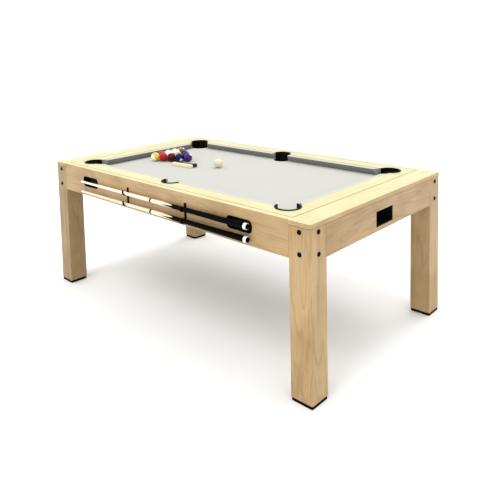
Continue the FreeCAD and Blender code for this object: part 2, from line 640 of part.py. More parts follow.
def make_collector():
    """The cross channel at the return end, falling from both sides to its middle."""
    trough = new_body("collector_gully", x="Dim.collector_x")
    wall, reach = "Dim.gully_wall", "Dim.collector_reach"
    mouth = "(Dim.return_width / 2 - Dim.return_wall)"
    outline = new_sketch(trough, "YZ_Plane")
    polygon(outline, [
        (f"-{reach}", "Dim.collector_rim"), (f"-{reach}", f"Dim.collector_end_floor - {wall}"),
        (f"-{mouth}", f"Dim.collector_floor - {wall}"), (mouth, f"Dim.collector_floor - {wall}"),
        (reach, f"Dim.collector_end_floor - {wall}"), (reach, "Dim.collector_rim")])
    pad(trough, outline, "Dim.collector_width", middle=True)
    hollow = new_sketch(trough, "YZ_Plane")
    polygon(hollow, [
        (f"-{reach} + {wall}", "Dim.collector_rim + 1"),
        (f"-{reach} + {wall}", "Dim.collector_end_floor"), (f"-{mouth}", "Dim.collector_floor"),
        (mouth, "Dim.collector_floor"), (f"{reach} - {wall}", "Dim.collector_end_floor"),
        (f"{reach} - {wall}", "Dim.collector_rim + 1")])
    pocket(trough, hollow, f"Dim.collector_width - 2 * {wall}", middle=True)
    outlet = new_sketch(trough, "YZ_Plane", y="Dim.collector_floor + 30")
    rectangle(outlet, f"2 * {mouth}", "60")
    pocket(trough, outlet, backwards=True)
    for side in ("-Dim.gully_y", "Dim.gully_y"):
        inlet = new_sketch(trough, "YZ_Plane", x=side, y="Dim.gully_end_floor + 25")
        rectangle(inlet, "Dim.gully_inner", "50")
        pocket(trough, inlet)


def make_ball_box():
    """The tray behind the square opening, sunk below its sill so that the balls stay in."""
    back = "(Dim.collector_x + Dim.collector_width / 2 + 1)"
    box = new_body("ball_box", x=back, z="Dim.wood_top - Dim.return_drop")
    sill = f"(Dim.table_length / 2 - Dim.apron_thick - {back})"
    length = f"(Dim.table_length / 2 - 3 - {back})"
    top = "(Dim.return_height / 2 - 0.3)"
    wall = "Dim.return_wall"
    outer = new_sketch(box, "XZ_Plane")
    polygon(outer, [("0", "-Dim.tray_depth"), (sill, "-Dim.tray_depth"), (sill, f"-{top}"),
                    (length, f"-{top}"), (length, top), ("0", top)])
    pad(box, outer, "Dim.return_width - 0.6", middle=True)
    hollow = new_sketch(box, "XZ_Plane")
    polygon(hollow, [
        ("-1", f"-Dim.tray_depth + {wall} + 2"), (f"{sill} - {wall}", f"-Dim.tray_depth + {wall}"),
        (f"{sill} - {wall}", f"-{top} + {wall}"), (f"{length} + 1", f"-{top} + {wall}"),
        (f"{length} + 1", f"{top} - {wall}"), ("-1", f"{top} - {wall}")])
    pocket(box, hollow, f"Dim.return_width - 2 * {wall}", middle=True)


# ---------------------------------------------------------------- cues and their clips

def make_clips():
    """Two black clip bars, each with two open hooks."""
    clip = new_body("cue_clip", keep=False)
    bar = new_sketch(clip, "YZ_Plane", x="-Dim.clip_thick / 2",
                     y="(Dim.clip_bottom + Dim.clip_top) / 2")
    rectangle(bar, "Dim.clip_thick", "Dim.clip_top - Dim.clip_bottom")
    pad(clip, bar, "Dim.clip_width", middle=True)
    for height in ("Dim.hook_low", "Dim.hook_low + Dim.hook_rise"):
        hook = new_sketch(clip, "YZ_Plane", x="-Dim.clip_thick - Dim.hook_radius", y=height)
        inner, outer = size("hook_radius"), size("hook_radius") + size("hook_wall")
        lip = size("hook_lip")
        for radius in (inner, outer):
            rim = Part.Circle(Vector(), Vector(0, 0, 1), radius)
            sketch_arc = Part.ArcOfCircle(rim, math.pi, 2 * math.pi)
            hook.addGeometry(sketch_arc)
        lines = [(Vector(-inner, 0), Vector(-inner, lip)), (Vector(-inner, lip), Vector(-outer, lip)),
                 (Vector(-outer, lip), Vector(-outer, 0)), (Vector(outer, 0), Vector(inner, 0))]
        for start, end in lines:
            hook.addGeometry(Part.LineSegment(start, end))
        joins = [(0, 1, 2, 1), (2, 2, 3, 1), (3, 2, 4, 1), (4, 2, 1, 1), (1, 2, 5, 1), (5, 2, 0, 2)]
        for join in joins:
            hook.addConstraint(Sketcher.Constraint("Coincident", *join))
        for arc in (0, 1):
            hook.addConstraint(Sketcher.Constraint("Coincident", arc, 3, -1, 1))
        for line, kind in ((2, "Vertical"), (3, "Horizontal"), (4, "Vertical"), (5, "Horizontal")):
            hook.addConstraint(Sketcher.Constraint(kind, line))
        hook.addConstraint(Sketcher.Constraint("PointOnObject", 5, 1, -1))
        dimension(hook, "Radius", 0, value=inner, formula="Dim.hook_radius")
        dimension(hook, "Radius", 1, value=outer, formula="Dim.hook_radius + Dim.hook_wall")
        dimension(hook, "DistanceY", 2, 1, 2, 2, value=lip, formula="Dim.hook_lip")
        hook.addConstraint(Sketcher.Constraint("PointOnObject", 2, 1, -1))
        pad(clip, hook, "Dim.clip_width", middle=True)
    face = -size("table_width") / 2
    group("cue_clips", copies(clip, [
        at(side * size("clip_x") + size("clip_offset"), face, 0) for side in (-1, 1)]))


def turned(label, points):
    """A round piece turned about its own X axis."""
    body = new_body(label)
    profile = new_sketch(body, "XZ_Plane")
    polygon(profile, points)
    feature = body.newObject("PartDesign::Revolution", f"{label}_turned")
    feature.Profile = profile
    feature.ReferenceAxis = (profile, ["H_Axis"])
    feature.Angle = 360
    return body


def make_cue(name, hook_rise):
    """A two-piece cue that lies in the two hooks of one level, its thin end lower."""
    taper = "(Dim.butt_radius - Dim.tip_radius) / (Dim.cue_end_x - Dim.cue_tip_x)"
    middle = f"(Dim.tip_radius + (Dim.cue_joint_x - Dim.cue_tip_x) * {taper})"
    front, back = "(Dim.cue_joint_x - Dim.cue_tip_x)", "(Dim.cue_end_x - Dim.cue_joint_x)"
    shaft = turned(f"{name}_shaft", [
        ("0", "0"), ("0", middle), (f"-{front} + 1.5", "Dim.tip_radius"),
        (f"-{front}", "Dim.tip_radius - 1.5"), (f"-{front}", "0")])
    butt = turned(f"{name}_butt", [
        ("0", "0"), ("0", middle), (f"{back} - Dim.bumper_length", "Dim.butt_radius"),
        (f"{back} - Dim.bumper_length", "Dim.bumper_radius"),
        (f"{back} - 2", "Dim.bumper_radius"), (back, "Dim.bumper_radius - 2"), (back, "0")])
    slope = math.atan(evaluate(taper))
    for piece in (shaft, butt):
        piece.Placement = Placement(Vector(), Rotation(Vector(0, 1, 0), -math.degrees(slope)))
        piece.setExpression("Placement.Base.x", "Dim.cue_joint_x")
        piece.setExpression("Placement.Base.y",
                            f"{CENTRING} - Dim.table_width / 2 - Dim.clip_thick"
                            " - Dim.hook_radius")
        piece.setExpression("Placement.Base.z", "Dim.hook_low - Dim.hook_radius + Dim.cue_play"
                                                f" + {hook_rise} + {middle}")


# ---------------------------------------------------------------- balls and brush

def make_ball(label, x, y):
    """A ball on the cloth."""
    ball = document.addObject("Part::Sphere", label)
    ball.Label = label
    ball.setExpression("Radius", "Dim.ball_radius")
    ball.Placement = Placement(Vector(x, y + evaluate(CENTRING), 0), Rotation())
    ball.setExpression("Placement.Base.z", f"{BED_TOP} + Dim.ball_gap + Dim.ball_radius")
    nodes.append(ball)


def make_balls():
    """Fifteen racked balls, apex towards +X, and the cue ball."""
    pitch = 2 * size("ball_radius") + size("ball_gap")
    row_step = pitch * math.cos(math.radians(30))
    number = 1
    for row_index in range(5):
        for seat in range(row_index + 1):
            x = size("rack_apex_x") - row_index * row_step
            y = size("rack_apex_y") + (seat - row_index / 2) * pitch
            make_ball(f"ball_{number:02d}", x, y)
            number += 1
    make_ball("cue_ball", size("cue_ball_x"), size("cue_ball_y"))


def make_brush():
    """A table brush lying on its side, its bristles flared towards +Y."""
    turn = size("brush_turn")
    floor = f"{BED_TOP} + Dim.ball_gap"
    handle = new_body("brush_handle", "Dim.brush_x", "Dim.brush_y", floor, turn)
    outline = new_sketch(handle, "XZ_Plane", y="Dim.brush_width / 2")
    rectangle(outline, "Dim.brush_length", "Dim.brush_width")
    pad(handle, outline, "Dim.brush_back")
    round_edges(handle, "Dim.brush_width * 0.42",
                lambda edge: abs(edge.BoundBox.YMax - edge.BoundBox.YMin - size("brush_back")) < 0.01)
    round_edges(handle, "Dim.edge_round",
                lambda edge: edge.BoundBox.YMax < -size("brush_back") + 0.01)
    bristles = new_body("brush_bristles", "Dim.brush_x", "Dim.brush_y", floor, turn)
    root = "(Dim.brush_length / 2 - Dim.bristle_inset)"
    tip = "(Dim.brush_length / 2 + Dim.bristle_flare)"
    spread = new_sketch(bristles, "XY_Plane", z="Dim.bristle_margin")
    polygon(spread, [(f"-{root}", "0"), (root, "0"), (tip, "Dim.bristle_length"),
                     (f"-{tip}", "Dim.bristle_length")])
    pad(bristles, spread, "Dim.brush_width - 2 * Dim.bristle_margin")


# ---------------------------------------------------------------- build and write

def build():
    """Makes every node of the table."""
    for name, (side_x, side_y, turn) in CORNERS.items():
        make_leg(name, side_x, side_y, turn)
        make_foot(name, side_x, side_y)
    make_bolts()
    make_long_apron("front", -1, 0)
    make_long_apron("back", 1, 180)
    make_end_apron("left", -1, 180, has_return=False)
    make_end_apron("right", 1, 0, has_return=True)
    make_end_panel("left", -1, 180)
    make_end_panel("right", 1, 0)
    make_side_bearers()
    make_end_bearers()
    make_cross_bearers()
    make_corner_blocks()
    make_slot_cups()
    make_bed()
    make_long_cap("front", -1)
    make_long_cap("back", 1)
    make_end_cap("left", -1)
    make_end_cap("right", 1)
    make_cushions()
    make_liners()
    make_gullies()
    make_collector()
    make_ball_box()
    make_clips()
    make_cue("cue_1", "Dim.hook_rise")
    make_cue("cue_2", "0")
    make_balls()
    make_brush()
    document.recompute()


def check_and_write():
    """Stops on any failed object, then writes one STEP file for each node."""
    for item in document.Objects:
        if any(flag in item.State for flag in ("Invalid", "Error")):
            raise RuntimeError(f"{item.Label} did not compute: {item.State}")
    os.makedirs("parts", exist_ok=True)
    for node in nodes:
        if node.Shape.isNull() or not node.Shape.isValid():
            raise RuntimeError(f"{node.Label} has no valid shape")
        node.Shape.exportStep(f"parts/{node.Label}.step")


build()
check_and_write()
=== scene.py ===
import math

import bmesh
import bpy
from mathutils import Matrix, Vector


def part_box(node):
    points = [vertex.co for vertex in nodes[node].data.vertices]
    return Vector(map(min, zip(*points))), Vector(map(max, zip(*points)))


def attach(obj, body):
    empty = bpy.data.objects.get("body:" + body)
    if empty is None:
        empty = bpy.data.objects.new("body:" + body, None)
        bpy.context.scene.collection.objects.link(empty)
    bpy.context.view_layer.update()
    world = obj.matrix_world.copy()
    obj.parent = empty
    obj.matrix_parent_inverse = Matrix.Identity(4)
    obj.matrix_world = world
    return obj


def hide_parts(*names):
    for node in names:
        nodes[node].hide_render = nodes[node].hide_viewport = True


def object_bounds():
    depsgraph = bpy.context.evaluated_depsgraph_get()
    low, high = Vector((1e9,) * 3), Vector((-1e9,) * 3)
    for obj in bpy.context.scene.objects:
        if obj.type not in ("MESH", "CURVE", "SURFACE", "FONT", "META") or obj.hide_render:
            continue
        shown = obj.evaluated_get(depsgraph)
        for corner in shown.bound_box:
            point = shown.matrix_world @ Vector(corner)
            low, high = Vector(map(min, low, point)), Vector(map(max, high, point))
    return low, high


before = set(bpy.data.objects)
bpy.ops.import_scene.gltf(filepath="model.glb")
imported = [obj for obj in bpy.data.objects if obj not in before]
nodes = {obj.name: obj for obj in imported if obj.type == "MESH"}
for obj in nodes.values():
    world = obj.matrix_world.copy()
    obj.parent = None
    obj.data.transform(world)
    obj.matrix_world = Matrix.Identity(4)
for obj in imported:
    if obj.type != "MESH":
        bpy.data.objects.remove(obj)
cad_low, cad_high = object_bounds()
scene = bpy.context.scene

# ------------------------------------------------------------------ places read from the frame

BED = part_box("bed_cloth")
FRONT_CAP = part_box("front_rail_cap")
BACK_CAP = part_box("back_rail_cap")
LEFT_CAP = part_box("left_rail_cap")
RIGHT_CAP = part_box("right_rail_cap")
MID_Y = (FRONT_CAP[0].y + BACK_CAP[1].y) / 2
BED_TOP = BED[1].z
CORNER_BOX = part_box("corner_pocket_liners")
MIDDLE_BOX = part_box("middle_pocket_liners")
FLANGE = 0.008      # width of the rim round each pocket
CORNER_R = 0.054    # inner radius of a corner pocket
LINER = 0.005       # wall of every pocket liner
CORNER_X = CORNER_BOX[1].x - CORNER_R - FLANGE
CORNER_Y = CORNER_BOX[1].y - MID_Y - CORNER_R - FLANGE
MIDDLE_R = MIDDLE_BOX[1].x - FLANGE
MIDDLE_Y = MIDDLE_BOX[1].y - MID_Y - MIDDLE_R - FLANGE


# ------------------------------------------------------------------ node helpers

class Shader:
    """A material's node tree, with short calls for the nodes used here."""

    def __init__(self, name):
        self.material = bpy.data.materials.new(name)
        self.material.use_nodes = True
        self.tree = self.material.node_tree
        self.bsdf = self.tree.nodes["Principled BSDF"]

    def node(self, kind, **settings):
        made = self.tree.nodes.new(kind)
        for key, value in settings.items():
            setattr(made, key, value)
        return made

    def link(self, source, target):
        self.tree.links.new(source, target)

    def feed(self, socket, value):
        if isinstance(value, bpy.types.NodeSocket):
            self.link(value, socket)
        else:
            socket.default_value = value

    def coords(self, scale=(1, 1, 1), turn=(0, 0, 0), shift=(0, 0, 0)):
        """Object coordinates, in metres of the row frame, mapped."""
        source = self.node("ShaderNodeTexCoord")
        mapping = self.node("ShaderNodeMapping", vector_type="POINT")
        mapping.inputs["Scale"].default_value = scale
        mapping.inputs["Rotation"].default_value = turn
        mapping.inputs["Location"].default_value = shift
        self.link(source.outputs["Object"], mapping.inputs["Vector"])
        return mapping.outputs["Vector"]

    def noise(self, vector, scale, detail=3.0, rough=0.5, distort=0.0):
        made = self.node("ShaderNodeTexNoise")
        self.feed(made.inputs["Vector"], vector)
        for key, value in (("Scale", scale), ("Detail", detail), ("Roughness", rough),
                           ("Distortion", distort)):
            made.inputs[key].default_value = value
        return made.outputs["Fac"]

    def ramp(self, factor, *stops):
        made = self.node("ShaderNodeValToRGB")
        elements = made.color_ramp.elements
        while len(elements) < len(stops):
            elements.new(0.5)
        for element, (place, colour) in zip(elements, stops):
            element.position = place
            element.color = (*colour, 1) if len(colour) == 3 else colour
        self.feed(made.inputs["Fac"], factor)
        return made.outputs["Color"]

    def stretch(self, vector, scale):
        """A vector scaled along each axis."""
        made = self.node("ShaderNodeMapping")
        made.inputs["Scale"].default_value = scale
        self.link(vector, made.inputs["Vector"])
        return made.outputs["Vector"]

    def math(self, operation, a, b=0.0, c=0.0):
        made = self.node("ShaderNodeMath", operation=operation)
        for socket, value in zip(made.inputs, (a, b, c)):
            self.feed(socket, value)
        return made.outputs[0]

    def remap(self, value, low, high, to_low=0.0, to_high=1.0, smooth=False):
        made = self.node("ShaderNodeMapRange")
        if smooth:
            made.interpolation_type = "SMOOTHSTEP"
        for key, item in (("Value", value), ("From Min", low), ("From Max", high),
                          ("To Min", to_low), ("To Max", to_high)):
            self.feed(made.inputs[key], item)
        return made.outputs["Result"]

    def mix(self, factor, a, b, mode="MIX"):
        made = self.node("ShaderNodeMix", data_type="RGBA", blend_type=mode)
        self.feed(made.inputs[0], factor)
        for socket, value in ((made.inputs[6], a), (made.inputs[7], b)):
            self.feed(socket, value if isinstance(value, bpy.types.NodeSocket) else (*value, 1))
        return made.outputs[2]

    def split(self, vector):
        made = self.node("ShaderNodeSeparateXYZ")
        self.link(vector, made.inputs[0])
        return made.outputs

    def facing_up(self):
        """How far a face looks up, from 0 for upright to 1 for level."""
        return self.split(self.node("ShaderNodeNewGeometry").outputs["Normal"])[2]

    def bump(self, height, strength, distance):
        made = self.node("ShaderNodeBump")
        made.inputs["Strength"].default_value = strength
        made.inputs["Distance"].default_value = distance
        self.link(height, made.inputs["Height"])
        self.link(made.outputs["Normal"], self.bsdf.inputs["Normal"])

    def done(self, **sockets):
        for name, value in sockets.items():
            socket = self.bsdf.inputs[name.replace("_", " ")]
            if isinstance(value, tuple) and len(value) == 3 and socket.type == "RGBA":
                value = (*value, 1)
            self.feed(socket, value)
        return self.material


def dress(names, material):
    """Gives CAD nodes or pieces a material in every slot."""
    for name in names:
        thing = nodes[name] if isinstance(name, str) else name
        thing.data.materials.clear()
        thing.data.materials.append(material)


def smooth(thing, angle=35):
    """Shades a piece smooth, apart from its sharp edges."""
    thing.data.shade_smooth()
    thing.data.set_sharp_from_angle(angle=math.radians(angle))


# ------------------------------------------------------------------ materials

# Pale and warm patches, and the dark of the fibre.
MAPLE_TONES = (0.455, 0.314, 0.156), (0.372, 0.243, 0.106), (0.24, 0.145, 0.062)
# Paler, yellower tones for faces that look up: painted light on the tops, in the same pale, warm and
# dark order.
TOP_PAINTED_LIGHT_TONES = (0.565, 0.53, 0.285), (0.52, 0.475, 0.235), (0.43, 0.345, 0.155)
GRAIN_TURN = {"x": (0, 0, 0), "y": (0, 0, -math.pi / 2), "z": (0, math.pi / 2, 0)}


def maple(name, along, seed, light=1.0):
    """Lacquered maple: cathedral figure, fine fibre and a little fleck along one axis.

    Faces that look up are painted paler and yellower, as painted light on the tops.
    """
    s = Shader(name)
    base = s.coords(turn=GRAIN_TURN[along], shift=(seed * 3.7, seed * 1.9, seed * 2.3))
    wide = s.noise(s.stretch(base, (1.1, 9.0, 9.0)), 1.0, 2.5, 0.55, 0.6)
    rings = s.math("FRACT", s.math("MULTIPLY", wide, 9.0))
    line = s.ramp(rings, (0.0, (0.50, 0.50, 0.50)), (0.16, (1, 1, 1)), (0.8, (0.92, 0.92, 0.92)),
                  (1.0, (0.50, 0.50, 0.50)))
    fibre = s.noise(s.stretch(base, (7.0, 260.0, 260.0)), 1.0, 4.0, 0.6)
    patch = s.remap(s.noise(base, 5.5, 3.0, 0.5, 0.3), 0.35, 0.68)
    fleck = s.remap(s.noise(s.stretch(base, (38.0, 190.0, 190.0)), 1.0, 2.0, 0.5), 0.62, 0.72)

    # light scales the side tones: painted light and shade for the board.
    pale, warm, dark = (tuple(c * light for c in tone) for tone in MAPLE_TONES)
    side = s.mix(0.45, s.mix(patch, pale, warm), line, "MULTIPLY")
    side = s.mix(s.remap(fibre, 0.38, 0.66, 0.0, 0.30), side, dark)
    side = s.mix(s.math("MULTIPLY", fleck, 0.16), side, dark)

    # Top tones: paler, as painted light.
    pale, warm, dark = TOP_PAINTED_LIGHT_TONES
    top = s.mix(0.12, s.mix(patch, pale, warm), line, "MULTIPLY")
    top = s.mix(s.remap(fibre, 0.35, 0.7, 0.0, 0.14), top, dark)

    # Faces that look up blend into the top tones: painted light.
    colour = s.mix(s.remap(s.facing_up(), 0.5, 0.95, smooth=True), side, top)
    s.bump(fibre, 0.12, 0.0004)
    return s.done(Base_Color=colour, Roughness=s.remap(fibre, 0.3, 0.7, 0.36, 0.50),
                  Coat_Weight=0.10, Coat_Roughness=0.28, Specular_IOR_Level=0.28)


def timber(name):
    """Planed softwood for the hidden frame."""
    s = Shader(name)
    base = s.coords(scale=(1.4, 24, 24))
    grain = s.noise(base, 1.0, 4.0, 0.6, 0.4)
    colour = s.mix(s.remap(grain, 0.3, 0.7), (0.60, 0.43, 0.24), (0.44, 0.29, 0.14))
    s.bump(grain, 0.25, 0.0006)
    return s.done(Base_Color=colour, Roughness=0.72)


def cloth(name, tone=(0.455, 0.455, 0.42), under=None):
    """Napped woollen cloth, fine weave under the nap. Faces that don't look up take the darker tone
    under, as painted shade.
    """
    s = Shader(name)
    where = s.coords()
    nap = s.noise(where, 900, 2.0, 0.6)
    weave = s.noise(s.coords(scale=(1, 1.6, 1)), 420, 3.0, 0.65)
    wide = s.noise(where, 3.5, 3.0, 0.5)
    darker = tuple(c * 0.88 for c in tone)
    lighter = tuple(min(1.0, c * 1.06) for c in tone)
    colour = s.mix(s.remap(weave, 0.3, 0.7), darker, lighter)
    colour = s.mix(s.remap(wide, 0.3, 0.7, 0.0, 0.10), colour, darker)
    if under is not None:
        shade = s.mix(s.remap(weave, 0.3, 0.7), tuple(c * 0.85 for c in under), under)
        # Faces that don't look up take the darker tone: painted shade.
        colour = s.mix(s.remap(s.facing_up(), 0.25, 0.75, smooth=True), shade, colour)
    s.bump(s.math("ADD", nap, weave), 0.35, 0.0004)
    return s.done(Base_Color=colour, Roughness=0.93, Sheen_Weight=0.08, Sheen_Roughness=0.5,
                  Specular_IOR_Level=0.1)


def black_plastic(name, tone=0.003, rough=0.55, pits=380, gloss=0.05):
    """Moulded black plastic or rubber with a fine texture and worn sheen."""
    s = Shader(name)
    grain = s.noise(s.coords(), pits, 2.0, 0.5)
    wide = s.noise(s.coords(), 22, 3.0, 0.5)
    colour = s.mix(s.remap(wide, 0.3, 0.7), (tone,) * 3, (tone * 1.7,) * 3)
    s.bump(grain, 0.2, 0.0003)
    return s.done(Base_Color=colour, Roughness=s.remap(wide, 0.3, 0.7, rough - 0.06, rough + 0.1),
                  Specular_IOR_Level=gloss)


def slate():
    s = Shader("slate")
    layer = s.noise(s.coords(scale=(1, 1, 12)), 9, 5.0, 0.6, 0.5)
    colour = s.mix(s.remap(layer, 0.3, 0.7), (0.10, 0.105, 0.11), (0.20, 0.205, 0.21))
    s.bump(layer, 0.3, 0.001)
    return s.done(Base_Color=colour, Roughness=0.6)


def painted_steel(name):
    s = Shader(name)
    peel = s.noise(s.coords(), 500, 2.0, 0.5)
    wide = s.noise(s.coords(), 60, 2.0, 0.5)
    s.bump(peel, 0.15, 0.0002)
    return s.done(Base_Color=s.mix(wide, (0.0015, 0.0015, 0.0018), (0.003, 0.003, 0.0035)),
                  Roughness=s.remap(peel, 0.3, 0.7, 0.4, 0.55), Specular_IOR_Level=0.03)


BALL_SPOT = 0.0265    # distance from a ball's centre at which a white spot begins
BALL_BAND = 0.0150    # half the width of a coloured band
PAINT_EDGE = 0.0002


def ball_material(name, centre, colour, style, axis):
    """Polished phenolic resin: solid with white spots, or white with a coloured band."""
    s = Shader(name)
    where = s.node("ShaderNodeVectorMath", operation="SUBTRACT")
    s.link(s.coords(), where.inputs[0])
    where.inputs[1].default_value = centre
    along = s.node("ShaderNodeVectorMath", operation="DOT_PRODUCT")
    s.link(where.outputs[0], along.inputs[0])
    along.inputs[1].default_value = Vector(axis).normalized()
    height = s.math("ABSOLUTE", along.outputs["Value"])
    cloud = s.noise(s.coords(), 60, 2.0, 0.5)
    white = s.mix(cloud, (0.86, 0.83, 0.72), (0.90, 0.87, 0.78))
    deep = tuple(c * 0.85 for c in colour)
    tinted = s.mix(cloud, colour, deep)
    if style == "plain":
        paint = tinted
    elif style == "solid":
        paint = s.mix(s.remap(height, BALL_SPOT - PAINT_EDGE, BALL_SPOT + PAINT_EDGE), tinted, white)
    else:
        paint = s.mix(s.remap(height, BALL_BAND - PAINT_EDGE, BALL_BAND + PAINT_EDGE), tinted, white)
    scuff = s.noise(s.coords(), 240, 3.0, 0.6)
    s.bump(scuff, 0.03, 0.0001)
    return s.done(Base_Color=paint, Roughness=s.remap(scuff, 0.35, 0.7, 0.10, 0.20),
                  Specular_IOR_Level=0.16)


def cue_wood(name, splice_from=None, splice_to=None, centre=(0, 0), pale=1.0):
    """Cue wood along X, with black points running up into it where a splice is given."""
    s = Shader(name)
    fibre = s.noise(s.coords(scale=(8, 300, 300)), 1.0, 3.0, 0.6)
    wide = s.noise(s.coords(scale=(3, 40, 40)), 1.0, 2.0, 0.5)
    wood = s.mix(s.remap(wide, 0.3, 0.7), tuple(c * pale for c in (0.80, 0.73, 0.59)),
                 tuple(c * pale for c in (0.72, 0.62, 0.46)))
    wood = s.mix(s.remap(fibre, 0.4, 0.7, 0.0, 0.2), wood, (0.5, 0.33, 0.16))
    if splice_from is not None:
        x, y, z = s.split(s.coords())
        angle = s.math("ARCTAN2", s.math("SUBTRACT", z, centre[1]),
                       s.math("SUBTRACT", y, centre[0]))
        point = s.math("ABSOLUTE", s.math("SINE", s.math("MULTIPLY", angle, 2.0)))
        edge = s.math("MULTIPLY_ADD", point, splice_to - splice_from, splice_from)
        black = s.remap(s.math("SUBTRACT", x, edge), -0.0006, 0.0006)
        colour = s.mix(black, wood, (0.0012, 0.0012, 0.0012))
        return s.done(Base_Color=colour, Roughness=0.35, Specular_IOR_Level=0.02)
    return s.done(Base_Color=wood, Roughness=0.30, Coat_Weight=0.4, Coat_Roughness=0.1)


def brush_wood():
    """Pale varnished beech, with short dark flecks along X."""
    s = Shader("brush_beech")
    fibre = s.noise(s.coords(scale=(9, 220, 220)), 1.0, 3.0, 0.6)
    fleck = s.remap(s.noise(s.coords(scale=(70, 420, 420)), 1.0, 2.0, 0.5), 0.6, 0.7)
    wood = s.mix(s.remap(fibre, 0.3, 0.7), (0.86, 0.80, 0.46), (0.74, 0.64, 0.33))
    wood = s.mix(s.math("MULTIPLY", fleck, 0.35), wood, (0.42, 0.26, 0.11))
    s.bump(fibre, 0.1, 0.0003)
    return s.done(Base_Color=wood, Roughness=0.34, Coat_Weight=0.3, Coat_Roughness=0.15)


def soft_white(name, tone=(0.80, 0.79, 0.75), rough=0.35):
    s = Shader(name)
    grain = s.noise(s.coords(), 300, 2.0, 0.5)
    return s.done(Base_Color=s.mix(s.remap(grain, 0.3, 0.7), tone, tuple(c * 0.93 for c in tone)),
                  Roughness=rough)


def bristle(name):
    s = Shader(name)
    strand = s.noise(s.coords(scale=(700, 30, 700)), 1.0, 3.0, 0.7)
    s.bump(strand, 0.9, 0.002)
    return s.done(Base_Color=s.mix(strand, (0.002, 0.002, 0.002), (0.012, 0.012, 0.012)),
                  Roughness=0.75)


# ------------------------------------------------------------------ mesh helpers

def link_mesh(name, bm, body, weld=0.00001):
    """Makes an object of a bmesh, riding on a body, with points closer than weld joined."""
    bmesh.ops.remove_doubles(bm, verts=bm.verts, dist=weld)
    bmesh.ops.recalc_face_normals(bm, faces=bm.faces)
    mesh = bpy.data.meshes.new(name)
    bm.to_mesh(mesh)
    bm.free()
    thing = bpy.data.objects.new(name, mesh)
    scene.collection.objects.link(thing)
    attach(thing, body)
    return thing


def apply_modifiers(thing):
    """Turns an object's modifiers into its mesh."""
    graph = bpy.context.evaluated_depsgraph_get()
    made = bpy.data.meshes.new_from_object(thing.evaluated_get(graph))
    thing.modifiers.clear()
    old = thing.data
    thing.data = made
    bpy.data.meshes.remove(old)


def turned_piece(name, profile, start, direction, body, steps=48):
    """A solid of revolution: profile is (distance along the axis, radius) from end to end."""
    bm = bmesh.new()
    turn = Vector((1, 0, 0)).rotation_difference(Vector(direction)).to_matrix()
    rings = []
    for along, radius in profile:
        ring = []
        for k in range(steps):
            a = 2 * math.pi * k / steps
            local = Vector((along, radius * math.cos(a), radius * math.sin(a)))
            ring.append(bm.verts.new(Vector(start) + turn @ local))
        rings.append(ring)
    for first, second in zip(rings, rings[1:]):
        for k in range(steps):
            n = (k + 1) % steps
            bm.faces.new((first[k], first[n], second[n], second[k]))
    bm.faces.new(reversed(rings[0]))
    bm.faces.new(rings[-1])
    thing = link_mesh(name, bm, body)
    smooth(thing)
    return thing


# ------------------------------------------------------------------ bed cloth

def spaced(low, high, step):
    """Even divisions of a span, as near as they come to a step."""
    count = max(1, round((high - low) / step))
    return [low + (high - low) * k / count for k in range(count + 1)]


CLOTH_THICK = 0.0009
CLOTH_MIDDLE = BED_TOP - 0.0005
CLOTH_STEP = 0.020
HOLE_REACH = 0.080    # half the side of the square patch round each hole


def flat_quad(bm, *corners):
    bm.faces.new([bm.verts.new((x, y, CLOTH_MIDDLE)) for x, y in corners])


def cloth_patch(bm, xs, ys):
    """A plain grid of quads."""
    for a, b in zip(xs, xs[1:]):
        for c, d in zip(ys, ys[1:]):
            flat_quad(bm, (a, c), (b, c), (b, d), (a, d))


def cloth_patch_with_hole(bm, xs, ys, centre, radius):
    """A square patch whose rows of quads turn from its edge into a round hole."""
    edge = ([(x, ys[0]) for x in xs[:-1]] + [(xs[-1], y) for y in ys[:-1]]
            + [(x, ys[-1]) for x in xs[:0:-1]] + [(xs[0], y) for y in ys[:0:-1]])
    loops = []
    for part in (0.0, 0.4, 0.75, 1.0):
        loop = []
        for place in edge:
            rim = centre + (Vector(place) - centre).normalized() * radius
            loop.append(tuple(Vector(place).lerp(rim, part)))
        loops.append(loop)
    for outer, inner in zip(loops, loops[1:]):
        for k in range(len(edge)):
            n = (k + 1) % len(edge)
            flat_quad(bm, outer[k], outer[n], inner[n], inner[k])


def make_bed_cloth():
    """The stretched sheet over the slate, with six round holes, as clean quads."""
    near, far = CORNER_Y - HOLE_REACH, CORNER_Y + HOLE_REACH
    xs = [BED[0].x, -CORNER_X - HOLE_REACH, -CORNER_X + HOLE_REACH, -HOLE_REACH, HOLE_REACH,
          CORNER_X - HOLE_REACH, CORNER_X + HOLE_REACH, BED[1].x]
    ys = [BED[0].y, MID_Y - far, MID_Y - near, MID_Y + near, MID_Y + far, BED[1].y]
    corner_hole, middle_hole = CORNER_R + LINER, MIDDLE_R + LINER
    columns = {1: (-CORNER_X, CORNER_Y, corner_hole), 3: (0.0, MIDDLE_Y, middle_hole),
               5: (CORNER_X, CORNER_Y, corner_hole)}
    rows = {1: -1, 3: 1}
    bm = bmesh.new()
    for i in range(len(xs) - 1):
        for j in range(len(ys) - 1):
            gx = spaced(xs[i], xs[i + 1], CLOTH_STEP)
            gy = spaced(ys[j], ys[j + 1], CLOTH_STEP)
            if i in columns and j in rows:
                x, y, radius = columns[i]
                cloth_patch_with_hole(bm, gx, gy, Vector((x, MID_Y + rows[j] * y)), radius)
            else:
                cloth_patch(bm, gx, gy)
    thing = link_mesh("bed_cloth_sheet", bm, "table", weld=0.0003)
    if thing.data.polygons[0].normal.z < 0:
        thing.data.flip_normals()
    thick = thing.modifiers.new("thick", "SOLIDIFY")
    thick.thickness = CLOTH_THICK
    thick.offset = 0
    apply_modifiers(thing)
    smooth(thing)
    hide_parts("bed_cloth")
    return thing


# ------------------------------------------------------------------ cushions

